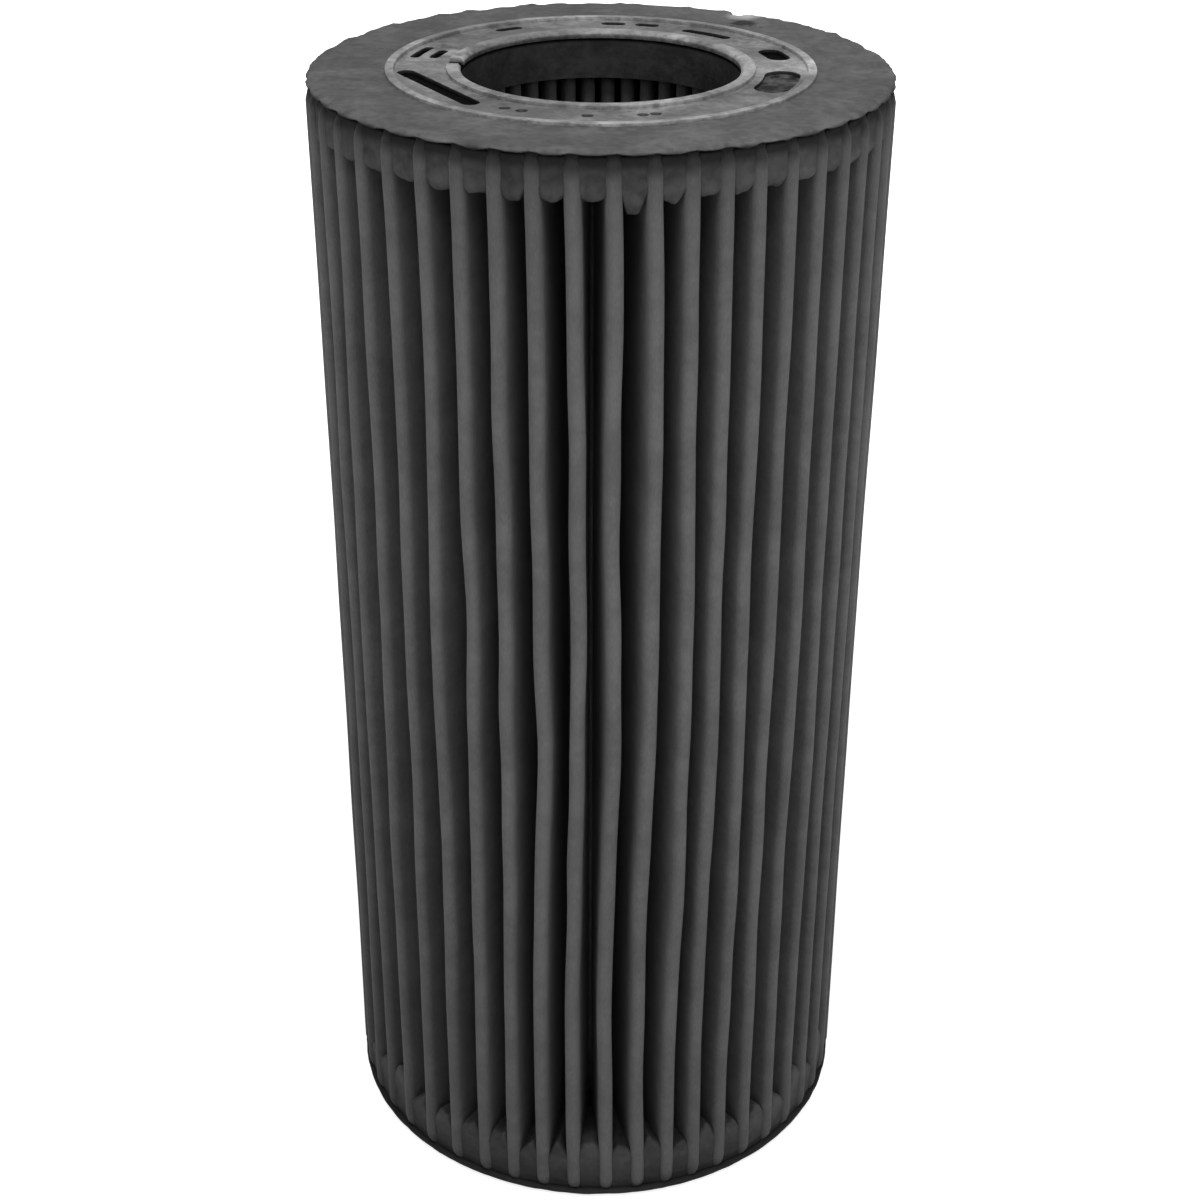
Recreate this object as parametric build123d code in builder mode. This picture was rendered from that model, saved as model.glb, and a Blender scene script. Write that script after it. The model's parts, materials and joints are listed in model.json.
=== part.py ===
"""Pleated filter element: one folded sheet of filter media, potted at both ends in moulded end caps.

The element stands on Z. Its outer folds are flush with the rims of the end caps, and its inner folds stand
round a clear bore. A flat moulded ring lies round the bore, bonded into the face of each end cap, which
shows through the ring's windows.
All lengths are in millimetres and all angles in degrees.
"""

import math
import os

from build123d import *

# --- Whole element ---
cap_span = 174.0  # from the face of one end cap to the face of the other
outer_dia = 83.0  # over the outer folds and over the rims of the end caps
bore_dia = 39.5  # clear bore through both end caps

# --- Folded media ---
pleat_count = 48
media_thick = 0.8
tip_gap = 0.6  # free width inside an outer fold
root_gap = 0.4  # free width inside an inner fold
crease_flat_count = 4  # flats that make up the outside of a fold
inside_flat_count = 2  # flats that make up the inside of a fold
first_pleat = -89.0  # bearing of the first outer fold
pleat_sway = 2.2  # slow drift of the outer folds to one side and back, twice round
sway_start = -3.5  # pleats from the first one to a crest of the drift
pleat_jitter = 0.3  # unevenness between neighbouring outer folds
jitter_step = 67.5  # phase of the unevenness from one pleat to the next
seam_pleat = 21  # the two ends of the sheet are lapped and glued on the leg that follows this outer fold
seam_inset = 2.5  # from the bend of that fold to the lap
seam_lap = 9.0  # width of the lap

# --- End caps ---
bore_potting = 2.05  # potting between the bore and the inner folds
rim_thick = 0.9  # from the cap face to the ends of the pleats
rim_bevel = 0.35  # bevel on the rim's outer edge
potting_depth = 6.5  # from the cap face to the edge of the potting between the pleats
tip_proud = 0.6  # how far the outer folds stand out of the potting
nick_bearing = 58.0  # chipped spot on the rim of the top cap
nick_width = 2.6
nick_depth = 0.9

# --- Bore rings ---
ring_dia = 60.6
ring_proud = 0.4  # height of the ring's two rims above the cap face
ring_embed = 0.6  # how far the ring's underside lies below the cap face
channel_depth = 0.5  # from the top of the rims to the floor between them
inner_rim_wide = 2.0
outer_rim_wide = 1.2
bore_bevel = 0.4

# --- Windows through a bore ring: first and last bearing, and the places where each starts and ends ---
# A place over the channel is 0 at the inner rim and 1 at the outer rim.
windows = (
    (-24.0, -8.0, 0.18, 0.86),
    (14.5, 21.5, 0.39, 0.85),
    (45.0, 60.0, 0.46, 0.70),
    (73.0, 77.0, 0.59, 0.84),
    (84.0, 88.0, 0.59, 0.84),
    (118.0, 124.0, 0.61, 0.82),
    (156.0, 167.0, 0.67, 0.86),
    (158.0, 166.0, 0.29, 0.49),
)
slot_from = (183.5, 0.84)  # bearing and place over the channel of one end of the straight slot
slot_to = (229.6, 0.54)
slot_width = 2.6
notch_bearing = 175.0  # notch in the edge of the bore
notch_width = 3.0

# --- Sizes that follow from the ones above ---
bottom_face = ring_proud
top_face = bottom_face + cap_span
overall_height = top_face + ring_proud
outer_radius = outer_dia / 2
bore_radius = bore_dia / 2
ring_radius = ring_dia / 2
pack_bore_radius = bore_radius + bore_potting
potting_radius = outer_radius - tip_proud
pack_bottom = bottom_face + rim_thick
pack_top = top_face - rim_thick
potting_edge = top_face - potting_depth
pleat_pitch = 360 / pleat_count
tip_bend = tip_gap / 2 + media_thick  # outside radius of an outer fold
root_bend = root_gap / 2 + media_thick  # outside radius of an inner fold
ring_underside = top_face - ring_embed
ring_thick = ring_embed + ring_proud
channel_floor = overall_height - channel_depth
channel_inner = bore_radius + inner_rim_wide
channel_outer = ring_radius - outer_rim_wide
turn_over = Axis((0, 0, overall_height / 2), (1, 0, 0))  # carries the top end onto the bottom end
from_corner = (Align.MIN, Align.MIN)


def on_plane(radius, bearing):
    """The point at a radius and a bearing about the element's axis."""
    return Vector(radius, 0).rotate(Axis.Z, bearing)


def direction(vector):
    """Bearing of a vector in the plane."""
    return math.degrees(math.atan2(vector.Y, vector.X))


def rectangle_to(x, y, x_end, y_end, mode=Mode.ADD):
    """A rectangle from one corner to the opposite one."""
    with Locations((x, y)):
        Rectangle(x_end - x, y_end - y, align=from_corner, mode=mode)


# --- Folded media ---
def tip_centre(pleat):
    """Centre of an outer fold's bend. Outer folds drift a little, as on a pack that is gathered by hand."""
    sway = pleat_sway * math.cos(math.radians(2 * pleat_pitch * (pleat - sway_start)))
    jitter = pleat_jitter * math.sin(math.radians(jitter_step * pleat))
    bearing = first_pleat + pleat_pitch * pleat + sway + jitter
    return on_plane(outer_radius - tip_bend, bearing)


def root_centre(pleat):
    """Centre of the bend of the inner fold that follows an outer fold. Inner folds are spaced evenly."""
    return on_plane(pack_bore_radius + root_bend, first_pleat + pleat_pitch * (pleat + 0.5))


def leg(tip, tip_radius, root, root_radius, side):
    """Ends of the straight leg that touches both bends: side 1 leaves the outer fold anticlockwise."""
    inward = (root - tip).normalized()
    lean = (tip_radius + root_radius) / (root - tip).length
    normal = inward * lean + inward.rotate(Axis.Z, -90 * side) * math.sqrt(1 - lean**2)
    return tip + normal * tip_radius, root - normal * root_radius


def bend(centre, start, end, flats, turn):
    """Points round a crease, from the end of one leg to the start of the next, both of them included."""
    sweep = turn * ((turn * (direction(end - centre) - direction(start - centre))) % 360)
    return [centre + (start - centre).rotate(Axis.Z, sweep * step / flats) for step in range(flats + 1)]


def folded_line(tip_radius, root_radius, tip_flats, root_flats):
    """Corners of one face of the sheet: for each pleat round the outer crease, then round the inner one."""
    corners = []
    for pleat in range(pleat_count):
        tip, root, next_tip = tip_centre(pleat), root_centre(pleat), tip_centre((pleat + 1) % pleat_count)
        arrive, _ = leg(tip, tip_radius, root_centre(pleat - 1), root_radius, -1)
        leave, enter = leg(tip, tip_radius, root, root_radius, 1)
        _, climb = leg(next_tip, tip_radius, root, root_radius, -1)
        corners += bend(tip, arrive, leave, tip_flats, 1) + bend(root, enter, climb, root_flats, -1)
    return corners


with BuildPart() as pleated_media:
    with BuildSketch(Plane.XY.offset(pack_bottom)):
        outer_face = folded_line(tip_bend, root_bend - media_thick, crease_flat_count, inside_flat_count)
        Polygon(outer_face, align=None)
        inner_face = folded_line(tip_bend - media_thick, root_bend, inside_flat_count, crease_flat_count)
        Polygon(inner_face, align=None, mode=Mode.SUBTRACT)
        # The glued lap: a second thickness of the sheet along one leg
        seam_tip, seam_root = tip_centre(seam_pleat), root_centre(seam_pleat)
        leave, enter = leg(seam_tip, tip_bend, seam_root, root_bend - media_thick, 1)
        along = (enter - leave).normalized()
        lap_start = leave + along * seam_inset
        lap_end = lap_start + along * seam_lap
        lap_rise = along.rotate(Axis.Z, 90) * media_thick
        Polygon(lap_start, lap_end, lap_end + lap_rise, lap_start + lap_rise, align=None)
    extrude(amount=pack_top - pack_bottom)
pleated_media.part.label = "pleated_media"


# --- Bore rings: the same moulding at both ends, turned over at the bottom ---
def over_channel(place):
    """Radius of a place over the channel floor."""
    return channel_inner + place * (channel_outer - channel_inner)


def window_outline(first, last, inner_place, outer_place):
    """A window that follows the channel, with round ends."""
    inner, outer = over_channel(inner_place), over_channel(outer_place)
    centre_line = CenterArc((0, 0), (inner + outer) / 2, first, last - first, mode=Mode.PRIVATE)
    SlotArc(centre_line, outer - inner)


def slot_outline():
    """The slot runs straight across the channel."""
    (from_bearing, from_place), (to_bearing, to_place) = slot_from, slot_to
    start = on_plane(over_channel(from_place), from_bearing)
    end = on_plane(over_channel(to_place), to_bearing)
    with Locations((start + end) / 2):
        SlotOverall((end - start).length, slot_width, rotation=direction(end - start))


with BuildPart() as top_bore_ring:
    with BuildSketch(Plane.XZ) as ring_section:
        rectangle_to(bore_radius, ring_underside, ring_radius, overall_height)
        rectangle_to(channel_inner, channel_floor, channel_outer, overall_height, Mode.SUBTRACT)
        chamfer(ring_section.vertices().group_by(Axis.Y)[-1].sort_by(Axis.X)[0], bore_bevel)
    revolve(axis=Axis.Z)
    with BuildSketch(Plane.XY.offset(ring_underside)):
        for window in windows:
            window_outline(*window)
        slot_outline()
        with PolarLocations(bore_radius, 1, notch_bearing):
            Rectangle(2 * inner_rim_wide, notch_width)
    extrude(amount=ring_thick, mode=Mode.SUBTRACT)
top_bore_ring.part.label = "top_bore_ring"

with BuildPart() as bottom_bore_ring:
    add(top_bore_ring.part.rotate(turn_over, 180))
bottom_bore_ring.part.label = "bottom_bore_ring"


# --- End caps: cast round the ends of the pleats, with a recess for the bore ring ---
with BuildPart() as cap_blank:
    with BuildSketch(Plane.XZ) as cap_section:
        rectangle_to(bore_radius, pack_top, outer_radius, top_face)
        chamfer(cap_section.vertices().group_by(Axis.Y)[-1].sort_by(Axis.X)[-1], rim_bevel)
        rectangle_to(bore_radius, potting_edge, potting_radius, pack_top)
        rectangle_to(bore_radius, ring_underside, ring_radius, top_face, Mode.SUBTRACT)
    revolve(axis=Axis.Z)

with BuildPart() as top_end_cap:
    add(cap_blank.part)
    with BuildSketch(Plane.XY.offset(pack_top)):
        with PolarLocations(outer_radius + nick_width / 2 - nick_depth, 1, nick_bearing):
            Circle(nick_width / 2)
    extrude(amount=rim_thick, mode=Mode.SUBTRACT)
    add(pleated_media.part, mode=Mode.SUBTRACT)
top_end_cap.part.label = "top_end_cap"

with BuildPart() as bottom_end_cap:
    add(cap_blank.part.rotate(turn_over, 180))
    add(pleated_media.part, mode=Mode.SUBTRACT)
bottom_end_cap.part.label = "bottom_end_cap"


# --- One file for each piece ---
os.makedirs("parts", exist_ok=True)
export_step(pleated_media.part, "parts/pleated_media.step")
export_step(top_bore_ring.part, "parts/top_bore_ring.step")
export_step(bottom_bore_ring.part, "parts/bottom_bore_ring.step")
export_step(top_end_cap.part, "parts/top_end_cap.step")
export_step(bottom_end_cap.part, "parts/bottom_end_cap.step")
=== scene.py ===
"""Pleated filter element: its folded media, moulded end caps and bore rings, with their finishes.

Lengths are in metres in the frame of the CAD model. Bearings run anticlockwise from +X, in degrees.
"""

import json
import math
import random

import bpy
from mathutils import Matrix, Vector, noise


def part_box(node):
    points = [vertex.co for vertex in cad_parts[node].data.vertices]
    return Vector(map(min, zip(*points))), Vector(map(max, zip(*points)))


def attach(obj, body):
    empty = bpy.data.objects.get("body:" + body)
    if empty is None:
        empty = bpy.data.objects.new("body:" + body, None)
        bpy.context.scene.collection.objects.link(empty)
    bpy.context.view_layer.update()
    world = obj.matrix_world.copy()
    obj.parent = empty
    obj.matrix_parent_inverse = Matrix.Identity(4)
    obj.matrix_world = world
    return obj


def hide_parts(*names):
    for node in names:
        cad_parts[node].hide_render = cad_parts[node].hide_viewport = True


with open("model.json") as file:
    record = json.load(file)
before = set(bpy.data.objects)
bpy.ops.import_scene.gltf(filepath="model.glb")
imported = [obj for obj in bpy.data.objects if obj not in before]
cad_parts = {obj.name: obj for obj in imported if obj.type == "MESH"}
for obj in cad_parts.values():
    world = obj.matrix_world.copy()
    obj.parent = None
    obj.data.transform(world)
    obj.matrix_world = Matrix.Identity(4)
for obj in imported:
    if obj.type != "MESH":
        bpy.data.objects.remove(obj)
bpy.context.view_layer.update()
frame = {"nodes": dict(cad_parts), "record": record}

MM = 0.001

# --- Sizes read from the frame ---
MEDIA_LOW, MEDIA_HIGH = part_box("pleated_media")
TOP_CAP_LOW, TOP_CAP_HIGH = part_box("top_end_cap")
BOTTOM_CAP_LOW, BOTTOM_CAP_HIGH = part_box("bottom_end_cap")
_, TOP_RING_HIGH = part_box("top_bore_ring")
MOUNTS = {mount["name"]: mount for mount in frame["record"]["mounts"]}

OUTER_RADIUS = TOP_CAP_HIGH[0]
BORE_RADIUS = MOUNTS["top_bore"]["dims"]["r_mm"] * MM
RING_RADIUS = TOP_RING_HIGH[0]
RING_TOP = TOP_RING_HIGH[2]
PACK_BOTTOM, PACK_TOP = MEDIA_LOW[2], MEDIA_HIGH[2]
TOP_POTTING_EDGE = TOP_CAP_LOW[2]
BOTTOM_POTTING_EDGE = BOTTOM_CAP_HIGH[2]
TOP_FACE = TOP_CAP_HIGH[2]
BOTTOM_FACE = BOTTOM_CAP_LOW[2]
CAP_HALF_SPAN = (TOP_FACE - BOTTOM_FACE) / 2

# --- Fold of the media, as on the CAD solid ---
PLEATS = 48
PITCH = 360 / PLEATS
SHEET = 0.8 * MM
TIP_BEND = 0.7 * MM  # to the middle of the sheet
ROOT_BEND = 0.6 * MM
TIP_CENTRE_RADIUS = OUTER_RADIUS - SHEET / 2 - TIP_BEND
ROOT_CENTRE_RADIUS = BORE_RADIUS + 3.05 * MM
FIRST_PLEAT = -89.0
SWAY = 2.2
SWAY_START = -3.5
JITTER = 0.3
JITTER_STEP = 67.5
SEAM_PLEAT = 21
SEAM_INSET = 2.5 * MM
SEAM_LAP = 9 * MM

# --- Points of the folded sheet ---
TIP_STEPS = 7
LEG_STEPS = 4
ROOT_STEPS = 4
ROWS = 40
END_ROWS = (0, 0.3 * MM, 0.7 * MM, 1.2 * MM, 2.4 * MM)  # closer rows near both ends
SHEET_CREASE = 50  # degrees: bends of the sheet up to this one are smooth

# --- Waves that the free length of the pleats has between the end caps ---
BOW_LOW, BOW_HIGH = -0.4, 0.9  # turn that all the outer folds share, at the foot and at the top
SLOW_WAVE = 1.25  # turns that each outer fold has of its own
QUICK_WAVE = 1.0
KINK = 0.45
PINCH = 0.22  # how much an outer fold grows wider and narrower
PINCH_REACH = 0.9  # share of the way out to the outer folds from which a point is on their bends
LEG_BOW = 0.35 * MM  # largest bow of a leg
TIP_DIP = 0.35 * MM  # how far an outer fold may fall short of the full radius
FREE_POWER = 0.6  # the lower it is, the sooner the sheet is free of the end caps
TURN_POWER = 1.2  # the higher it is, the more a turn keeps to the outer folds
DIP_POWER = 4  # the same for the dips
END_ROUND = 2.6 * MM  # length over which an outer fold is rounded off at its ends
END_SINK = 1.05 * MM  # how far its bend has sunk in where it ends

# Patterns of the waves: change from fold to fold, change along the axis, and place in the noise
SLOW_PATTERN = (0.33, 1.7, 83.79)  # along the axis over the free length
QUICK_PATTERN = (0.9, 3.4, 739.38)
KINK_PATTERN = (1.3, 60, 2.2)  # along the axis over a metre, as in the patterns below
PINCH_PATTERN = (2.1, 75, 6.4)
DIP_PATTERN = (1.7, 30, 5.0)
LEG_RATE, LEG_RATE_ALONG = 90, 22  # changes in the bow of the legs over a metre, across and along

# --- Potting between the pleats ---
POTTING_RADIUS = OUTER_RADIUS - 0.6 * MM
CORE_RADIUS = OUTER_RADIUS - 1.3 * MM  # the plain body of an end cap lies behind the webs of potting
WEB_DEPTHS = (0, 0.4 * MM, 1.6 * MM, 5 * MM, 14 * MM)  # in from the surface of a web
WEB_ACROSS = 12
WEB_ALONG = 9
WEB_OVERLAP = 0.1  # share of a valley's width by which a web reaches into each pleat beside it
FLANK_LIMIT = 0.98  # share of an outer fold's bend up to which a web follows it
# Places along a web's wall are 0 at the rim and 1 at its edge
BULGE_PLACE, BULGE_LENGTH = 0.8, 0.16
UNDER_START = 0.86
WALL_LEAN = 0.25 * MM  # how far the wall has leant in at the rim
WALL_UNEVEN = 0.13 * MM
WALL_RATES = (2.0, 3.0, 200)  # changes across, along and over a metre inward
# Places across a web are 0 at one pleat and 1 at the next
LOBE_SIZES = (0.5, 1.35)  # least and largest share of an end's usual lobe
LOBE_LEANS = (-0.3, 0.3)
LOBE_CRESTS = (0.42, 0.58)
LOBE_HALF_WIDTH = 0.4
CREEP_SIZES = (0.4, 1.5)
DRIP_PLACE, DRIP_HALF_WIDTH = 0.47, 0.33
FLAT_TOPPED = 6  # power of a hump with a broad top
EDGE_RAGGED = 0.9
EDGE_RATES = (2.4, 150)  # changes across and over a metre inward
EDGE_PLACE = 7.7  # in the noise

# --- Rims of the end caps: outward from the full radius and up from the face, in millimetres ---
TOP_RIM = (
    (-3.5, -0.5), (-3.4, -0.005), (-2.9, 0.0), (-1.2, -0.02), (-0.8, -0.06), (-0.45, -0.15), (-0.18, -0.28),
    (-0.04, -0.42), (-0.14, -0.56), (-0.7, -0.68), (-1.3, -0.85), (-1.8, -1.2), (-3.0, -1.2),
)
BOTTOM_RIM = (
    (-3.5, -0.5), (-3.4, -0.005), (-2.9, 0.0), (-1.2, -0.01), (-0.8, -0.03), (-0.5, -0.08), (-0.22, -0.2),
    (-0.05, -0.4), (-0.03, -0.7), (-0.12, -0.9), (-0.6, -0.98), (-1.5, -1.0), (-3.0, -1.0),
)
RIM_SEGMENTS = 480
RIM_LOWEST = -1.2
RIM_EDGE_START, RIM_EDGE_WIDTH = -1.6, 1.2  # the rim grows ragged over this width
RAGGED_RATE, FINE_RATE = 12, 42  # changes round the rim, in the raggedness and in its grain
RAGGED_PLACE, FINE_PLACE = 900, 5  # in the noise: for a metre of height, and further on for the grain
DRAWN_IN, RAGGED_IN, FINE_IN = 0.1, 0.13, 0.12  # millimetres that the rim is drawn in
DRAWN_DOWN, RAGGED_DOWN, FINE_DOWN = 0.08, 0.3, 0.16
FOLD_PINCH, FOLD_PINCH_WIDTH = 0.24, 1.3  # millimetres and degrees, where an outer fold ends under the rim
FACE_RADIUS = OUTER_RADIUS - 3.0 * MM  # the face of the plain body ends under the rim
TOUCHING = 0.01 * MM
RIM_BEVEL_REACH = 0.5 * MM  # takes in the bevel of the CAD solid's rim
CAP_CREASE = 40

# --- Chip in the rim of the top cap ---
NICK_BEARING = 58.0
NICK_HALF_WIDTH = 1.9  # degrees
NICK_IN, NICK_DOWN = 1.1, 0.75  # millimetres
NICK_START, NICK_SLOPE = -1.9, 0.7  # millimetres out from the full radius, and over which it deepens

# --- Bore rings ---
RING_EDGE_ROUND = 0.13 * MM
RING_EDGE_ANGLE = 40  # degrees: only sharper edges are rounded
RING_CREASE = 30
EJECTOR_RADIUS = 24.6 * MM  # of the circle that the round ejector marks lie on
EJECTOR_BEARINGS = (239, 245, 266, 283, 287)
EJECTOR_BALL = 1.05 * MM  # radius of the ball that cuts a mark
EJECTOR_RISE = 0.1 * MM  # of the ball's centre over the top of the rims


# --- Helpers for modelling ---
MERGE_DISTANCE = 0.002 * MM
FLAT_ANGLE = 1  # degrees: faces that meet at less are made one


def on_plane(radius, bearing):
    """The point at a radius and a bearing about the element's axis."""
    angle = math.radians(bearing)
    return Vector((radius * math.cos(angle), radius * math.sin(angle)))


def turned(vector, angle):
    """A plane vector turned anticlockwise."""
    cos, sin = math.cos(math.radians(angle)), math.sin(math.radians(angle))
    return Vector((vector.x * cos - vector.y * sin, vector.x * sin + vector.y * cos))


def bearing_of(x, y):
    """The bearing of a point of the plane."""
    return math.degrees(math.atan2(y, x))


def apart(bearing, other):
    """The angle between two bearings."""
    return abs((bearing - other + 180) % 360 - 180)


def fade(value, start, length):
    """0 up to the start, then a straight rise to 1 over the length."""
    return min(max((value - start) / length, 0), 1)


def hump(value, middle, half_width, power=2):
    """A hump of height 1 about its middle: the higher the power, the broader its top."""
    return math.exp(-(((value - middle) / half_width) ** power))


def deselect():
    """Leaves edit mode and selects nothing."""
    if bpy.context.object and bpy.context.object.mode != "OBJECT":
        bpy.ops.object.mode_set(mode="OBJECT")
    bpy.ops.object.select_all(action="DESELECT")


def take(piece):
    """Makes a piece the only one selected, and active."""
    deselect()
    piece.select_set(True)
    bpy.context.view_layer.objects.active = piece


def finish_place(piece):
    """Moves a piece's place, turn and size into its mesh."""
    take(piece)
    bpy.ops.object.transform_apply(location=True, rotation=True, scale=True)


def face_outwards():
    """Turns all faces of the mesh being edited outwards, and ends the editing."""
    bpy.ops.mesh.select_all(action="SELECT")
    bpy.ops.mesh.normals_make_consistent(inside=False)
    bpy.ops.object.mode_set(mode="OBJECT")


def copy_of_node(node, name):
    """A separate piece with a copy of a CAD node's mesh, its loose triangles joined."""
    piece = bpy.data.objects.new(name, frame["nodes"][node].data.copy())
    bpy.context.scene.collection.objects.link(piece)
    take(piece)
    bpy.ops.object.mode_set(mode="EDIT")
    bpy.ops.mesh.select_all(action="SELECT")
    bpy.ops.mesh.remove_doubles(threshold=MERGE_DISTANCE)
    bpy.ops.mesh.dissolve_limited(angle_limit=math.radians(FLAT_ANGLE))
    bpy.ops.object.mode_set(mode="OBJECT")
    return piece


def apply_modifier(piece, kind, **settings):
    """Adds a modifier with its settings to a piece, and applies it."""
    take(piece)
    modifier = piece.modifiers.new(kind.lower(), kind)
    for key, value in settings.items():
        setattr(modifier, key, value)
    bpy.ops.object.modifier_apply(modifier=modifier.name)


def smooth(piece, angle):
    """Smooth shading but for edges sharper than an angle."""
    take(piece)
    bpy.ops.object.shade_smooth_by_angle(angle=math.radians(angle))


def joined(pieces, name):
    """Several pieces made into one."""
    take(pieces[0])
    for piece in pieces[1:]:
        piece.select_set(True)
    bpy.ops.object.join()
    pieces[0].name = name
    return pieces[0]


# --- Folded media ---
def tip_centre(pleat):
    """Centre of an outer fold's bend where the potting holds it."""
    sway = SWAY * math.cos(math.radians(2 * PITCH * (pleat - SWAY_START)))
    jitter = JITTER * math.sin(math.radians(JITTER_STEP * pleat))
    return on_plane(TIP_CENTRE_RADIUS, FIRST_PLEAT + PITCH * pleat + sway + jitter)


def root_centre(pleat):
    """Centre of the bend of the inner fold that follows an outer fold."""
    return on_plane(ROOT_CENTRE_RADIUS, FIRST_PLEAT + PITCH * (pleat + 0.5))


def leg(tip, tip_radius, root, root_radius, side):
    """Ends of the straight leg that touches both bends: side 1 leaves the outer fold anticlockwise."""
    inward = (root - tip).normalized()
    lean = (tip_radius + root_radius) / (root - tip).length
    normal = inward * lean + turned(inward, -90 * side) * math.sqrt(1 - lean**2)
    return tip + normal * tip_radius, root - normal * root_radius


def bend(centre, start, end, steps, turn):
    """Points round a crease, from the end of one leg to the start of the next, both of them included."""
    first = bearing_of(start.x - centre.x, start.y - centre.y)
    last = bearing_of(end.x - centre.x, end.y - centre.y)
    sweep = turn * ((turn * (last - first)) % 360)
    return [centre + turned(start - centre, sweep * step / steps) for step in range(steps + 1)]


def pleat_points(pleat):
    """Points of the middle of the sheet from one outer fold up to the next."""
    tip, root, next_tip = tip_centre(pleat), root_centre(pleat), tip_centre((pleat + 1) % PLEATS)
    arrive, _ = leg(tip, TIP_BEND, root_centre(pleat - 1), ROOT_BEND, -1)
    leave, enter = leg(tip, TIP_BEND, root, ROOT_BEND, 1)
    next_arrive, climb = leg(next_tip, TIP_BEND, root, ROOT_BEND, -1)
    down = [leave.lerp(enter, step / LEG_STEPS) for step in range(1, LEG_STEPS)]
    up = [climb.lerp(next_arrive, step / LEG_STEPS) for step in range(1, LEG_STEPS)]
    return bend(tip, arrive, leave, TIP_STEPS, 1) + down + bend(root, enter, climb, ROOT_STEPS, -1) + up


def signed(pleat):
    """The number of an outer fold, counted both ways from the first, so that neighbours are close."""
    return pleat if pleat < PLEATS / 2 else pleat - PLEATS


def wave(pattern, order, along):
    """A smooth wave from -1 to 1 over the order of the folds and along the axis."""
    fold_rate, along_rate, place = pattern
    return noise.noise(Vector((order * fold_rate, along * along_rate, place)))


def waved(point, height, pleat):
    """Where the waves of the soft sheet carry a point that belongs to an outer fold."""
    radius = math.hypot(point.x, point.y)
    out = point.normalized()
    from_end = min(height - PACK_BOTTOM, PACK_TOP - height) / END_ROUND
    if from_end < 1 and radius > TIP_CENTRE_RADIUS - TIP_BEND:
        rise = (radius - TIP_CENTRE_RADIUS + TIP_BEND) / (2 * TIP_BEND)
        return point - out * END_SINK * rise * (1 - from_end) ** 2
    level = (height - BOTTOM_POTTING_EDGE) / (TOP_POTTING_EDGE - BOTTOM_POTTING_EDGE)
    if not 0 < level < 1:
        return point
    free = math.sin(math.pi * level) ** FREE_POWER
    reach = max(0, (radius - ROOT_CENTRE_RADIUS) / (TIP_CENTRE_RADIUS - ROOT_CENTRE_RADIUS))
    order = signed(pleat)
    turn = BOW_LOW + (BOW_HIGH - BOW_LOW) * level
    turn += SLOW_WAVE * wave(SLOW_PATTERN, order, level)
    turn -= QUICK_WAVE * wave(QUICK_PATTERN, order, level)
    turn += KINK * wave(KINK_PATTERN, order, height)
    across = turned(out, 90)
    if reach > PINCH_REACH:
        aside = (point - tip_centre(pleat)).dot(across)
        point = point + across * aside * PINCH * wave(PINCH_PATTERN, order, height) * free
    bow = noise.noise(Vector((point.x * LEG_RATE, point.y * LEG_RATE, height * LEG_RATE_ALONG)))
    bow *= 4 * max(0, reach * (1 - reach))
    dip = (0.5 + 0.5 * wave(DIP_PATTERN, order, height)) * reach**DIP_POWER
    point = point + (across * LEG_BOW * bow - out * TIP_DIP * dip) * free
    return turned(point, turn * free * reach**TURN_POWER)


def row_heights():
    """Heights of the rows of the sheet, from its foot to its top."""
    span = PACK_TOP - PACK_BOTTOM - 2 * END_ROWS[-1]
    low_rows = [PACK_BOTTOM + row for row in END_ROWS]
    middle_rows = [low_rows[-1] + span * row / ROWS for row in range(1, ROWS)]
    return low_rows + middle_rows + [PACK_TOP - row for row in reversed(END_ROWS)]


def make_media():
    """The pleated sheet with its glued lap, in the waves that it has taken on."""
    outline = [point for pleat in range(PLEATS) for point in pleat_points(pleat)]
    per_pleat = len(outline) // PLEATS
    deselect()
    bpy.ops.mesh.primitive_circle_add(
        vertices=len(outline), radius=OUTER_RADIUS, location=(0, 0, PACK_BOTTOM)
    )
    media = bpy.context.object
    media.name = "folded_media"
    finish_place(media)
    # The circle is folded: each of its points goes to its place on the pleats
    for vertex, point in zip(media.data.vertices, outline):
        vertex.co = (point.x, point.y, PACK_BOTTOM)
    numbers = media.data.attributes.new("pleat", "FLOAT", "POINT")
    numbers.data.foreach_set("value", [index / per_pleat for index in range(len(outline))])
    # The fold is drawn up to its full height in rows, closer together at both ends
    heights = row_heights()
    take(media)
    bpy.ops.object.mode_set(mode="EDIT")
    bpy.ops.mesh.select_all(action="SELECT")
    for low, high in zip(heights, heights[1:]):
        bpy.ops.mesh.extrude_region_move(TRANSFORM_OT_translate={"value": (0, 0, high - low)})
    face_outwards()
    media = joined([media, make_seam()], "folded_media")
    pleats = [0.0] * len(media.data.vertices)
    media.data.attributes["pleat"].data.foreach_get("value", pleats)
    for vertex, pleat in zip(media.data.vertices, pleats):
        point = waved(vertex.co.xy, vertex.co.z, round(pleat) % PLEATS)
        vertex.co = (point.x, point.y, vertex.co.z)
    apply_modifier(media, "SOLIDIFY", thickness=SHEET, offset=0, use_even_offset=True)
    # The painted light and shade of the media follow the reach: 0 at the inner folds and 1 at the outer ones
    reach = media.data.attributes.new("reach", "FLOAT", "POINT")
    span = OUTER_RADIUS - ROOT_CENTRE_RADIUS
    radii = [math.hypot(vertex.co.x, vertex.co.y) for vertex in media.data.vertices]
    reach.data.foreach_set("value", [(radius - ROOT_CENTRE_RADIUS) / span for radius in radii])
    smooth(media, SHEET_CREASE)
    return media


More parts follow.
